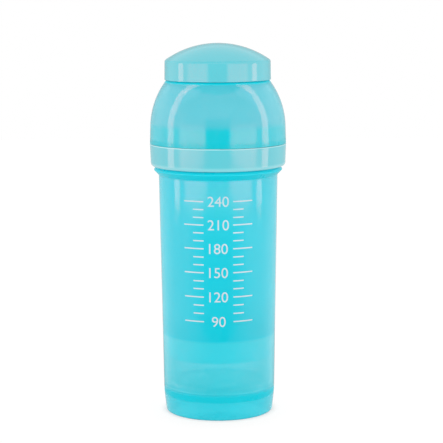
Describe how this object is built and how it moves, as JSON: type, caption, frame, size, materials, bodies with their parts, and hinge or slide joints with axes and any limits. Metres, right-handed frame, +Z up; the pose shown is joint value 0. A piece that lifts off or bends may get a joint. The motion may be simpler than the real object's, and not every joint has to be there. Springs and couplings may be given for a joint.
{
  "type": "baby bottle",
  "caption": "Wide-neck baby bottle in translucent turquoise plastic: tapered body, screw collar and teat under a domed hood, push-on cap, mixing net and a formula container inside.",
  "frame": {"origin": "middle of the foot, on the surface that the bottle stands on", "axes": "+Z up along the bottle's axis, -Y the front that carries the volume scale, +X right seen from the front"},
  "size_m": [0.0698, 0.0698, 0.1901],
  "materials": {
    "bottle_plastic": "smooth moulded polypropylene, translucent, milky turquoise",
    "container_plastic": "smooth moulded polypropylene, translucent turquoise",
    "net_plastic": "plain moulded polypropylene, pale turquoise",
    "silicone": "clear food-grade silicone, slightly hazy",
    "collar_plastic": "glossy moulded polypropylene, opaque pastel turquoise",
    "hood_plastic": "glossy moulded polypropylene, translucent pastel turquoise",
    "cap_plastic": "glossy moulded polypropylene, opaque pastel turquoise"
  },
  "bodies": {
    "bottle_body": {"bottle": "bottle_plastic"},
    "container_body": {"container_cup": "container_plastic"},
    "container_lid_body": {"container_lid": "container_plastic"},
    "teat_body": {"teat": "silicone"},
    "net_body": {"mixer_net": "net_plastic"},
    "collar_body": {"collar": "collar_plastic"},
    "hood_body": {"hood": "hood_plastic"},
    "cap_body": {"cap": "cap_plastic"}
  },
  "joints": [
    {"name": "container_lift", "type": "slide", "parent": "bottle_body", "child": "container_body", "axis": [0, 0, 1], "range_m": [0, 0.045]},
    {"name": "container_lid_lift", "type": "slide", "parent": "container_body", "child": "container_lid_body", "axis": [0, 0, 1], "range_m": [0, 0.018]},
    {"name": "collar_lift", "type": "slide", "parent": "bottle_body", "child": "teat_body", "axis": [0, 0, 1], "range_m": [0, 0.00777]},
    {"name": "net_pull", "type": "slide", "parent": "teat_body", "child": "net_body", "axis": [0, 0, -1], "range_m": [0, 0.02]},
    {"name": "collar_turn", "type": "hinge", "parent": "teat_body", "child": "collar_body", "pos_m": [0, 0, 0.1373], "axis": [0, 0, 1], "range_deg": [0, 460]},
    {"name": "hood_lift", "type": "slide", "parent": "collar_body", "child": "hood_body", "axis": [0, 0, 1], "range_m": [0, 0.06]},
    {"name": "cap_lift", "type": "slide", "parent": "hood_body", "child": "cap_body", "axis": [0, 0, 1], "range_m": [0, 0.025]}
  ],
  "couplings": [
    {"joint": "collar_lift", "follows": "collar_turn", "m_per_rad": 0.00095493}
  ]
}
